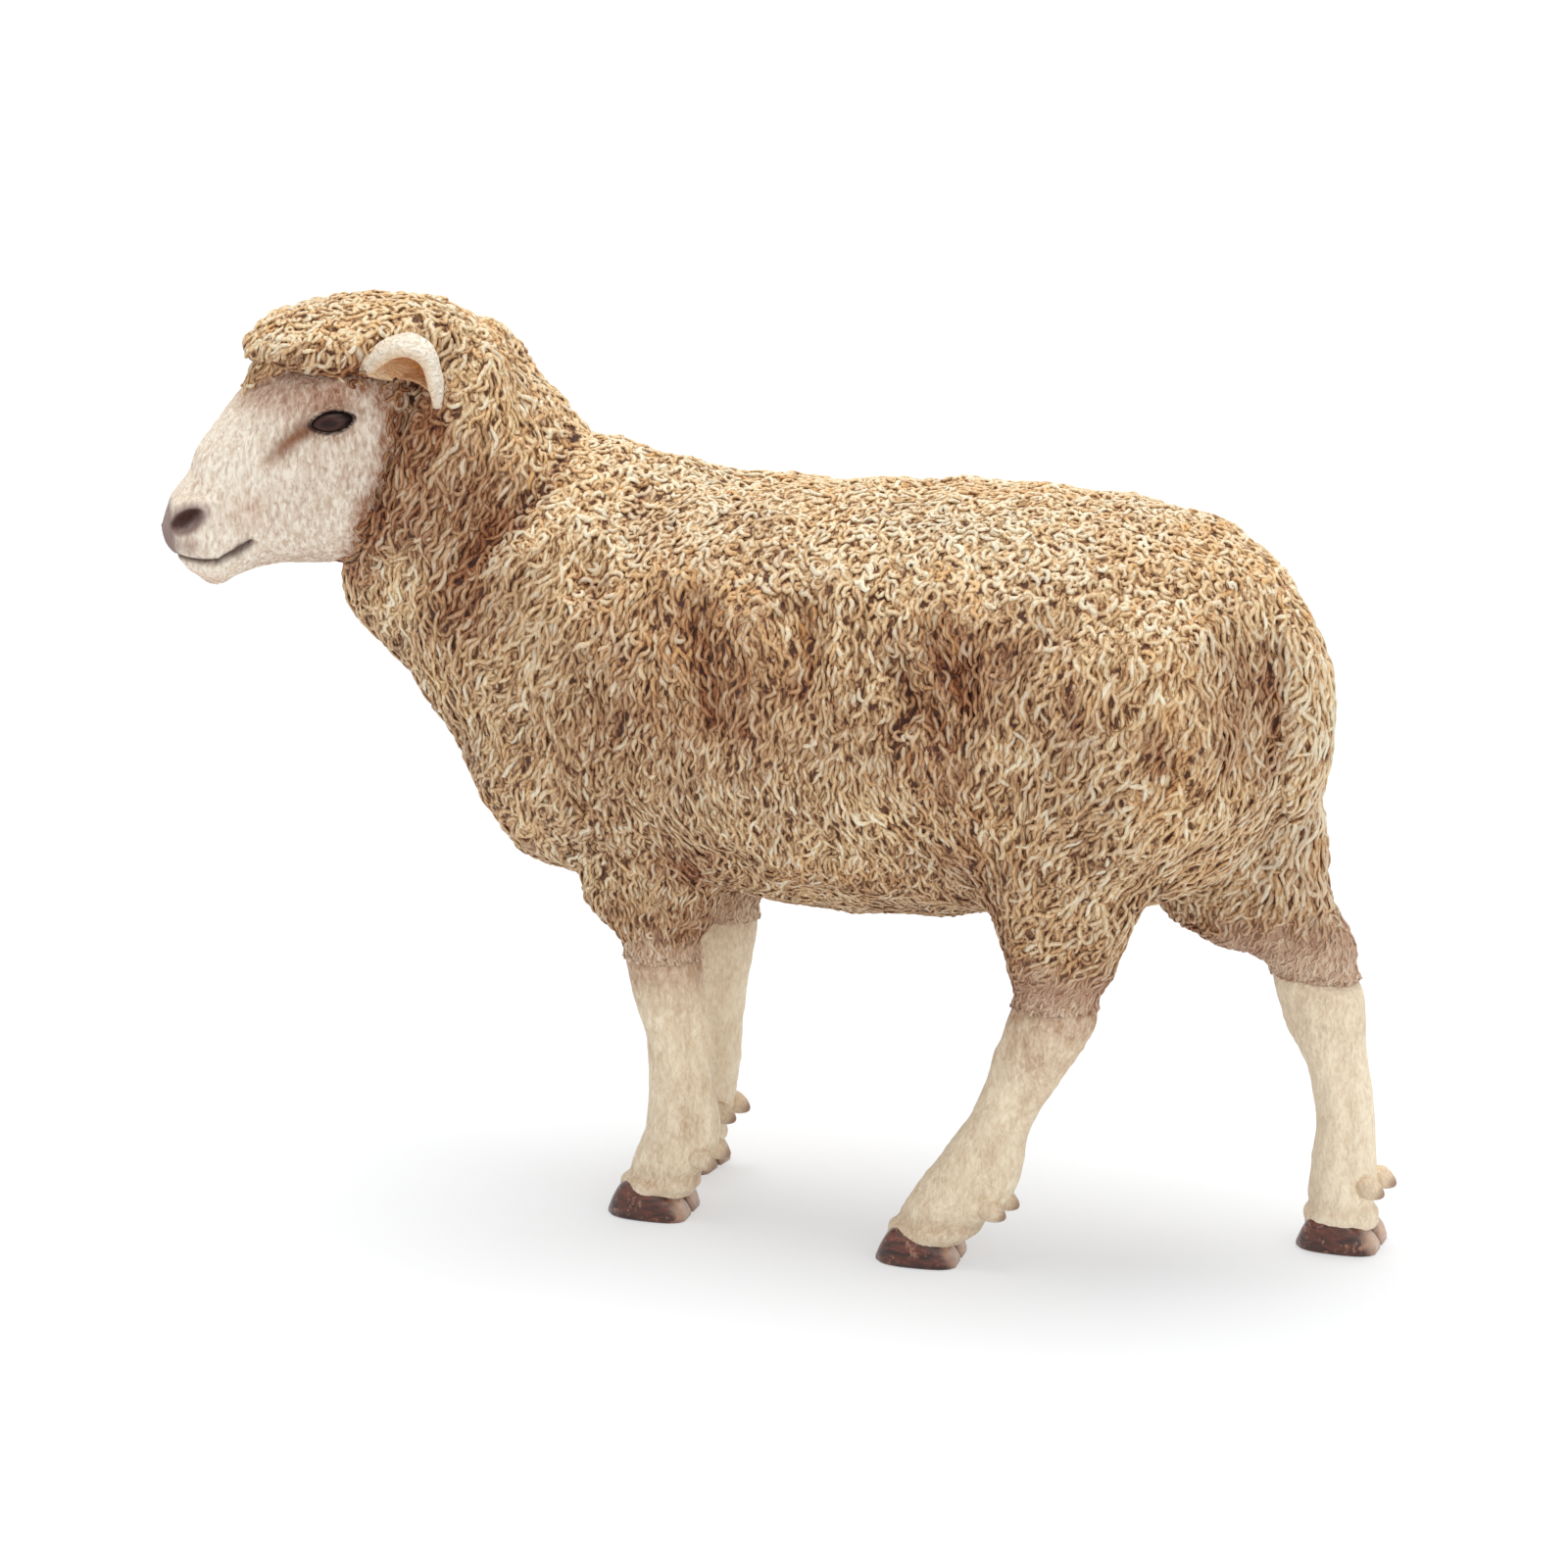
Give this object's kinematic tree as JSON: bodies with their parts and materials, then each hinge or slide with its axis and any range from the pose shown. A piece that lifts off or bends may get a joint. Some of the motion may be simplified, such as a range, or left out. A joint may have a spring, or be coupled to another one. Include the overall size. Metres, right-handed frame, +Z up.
{
  "type": "toy sheep figure",
  "caption": "Toy farm ewe in a curly fleece, standing in mid walk on flat-soled cloven hooves with its head turned to its left.",
  "frame": {"origin": "bottom centre of the bounding box, on the floor under the belly", "axes": "+X towards the breast, the way the animal walks, +Y towards its left flank, +Z up"},
  "size_m": [0.0932, 0.03, 0.0701],
  "materials": {
    "wool": "matt moulded wool, warm cream with a brown wash in the folds",
    "face": "matt, whitish beige with a brown shade behind the cheek and a greyish nose",
    "ear": "matt pale cream, warm brown inside",
    "eye": "glossy dark brown paint",
    "shank": "matt cream with a light brown wash at the knees and hocks",
    "hoof": "semi-gloss dark reddish brown paint, paler at the heel"
  },
  "bodies": {
    "root": {"body_fleece": "wool", "neck_fleece": "wool", "tail": "wool", "head": "face", "left_ear": "ear", "left_eye": "eye", "right_ear": "ear", "right_eye": "eye", "front_left_leg": "shank", "front_left_outer_claw": "hoof", "front_left_inner_claw": "hoof", "front_right_leg": "shank", "front_right_outer_claw": "hoof", "front_right_inner_claw": "hoof", "rear_left_leg": "shank", "rear_left_outer_claw": "hoof", "rear_left_inner_claw": "hoof", "rear_right_leg": "shank", "rear_right_outer_claw": "hoof", "rear_right_inner_claw": "hoof"}
  },
  "joints": []
}
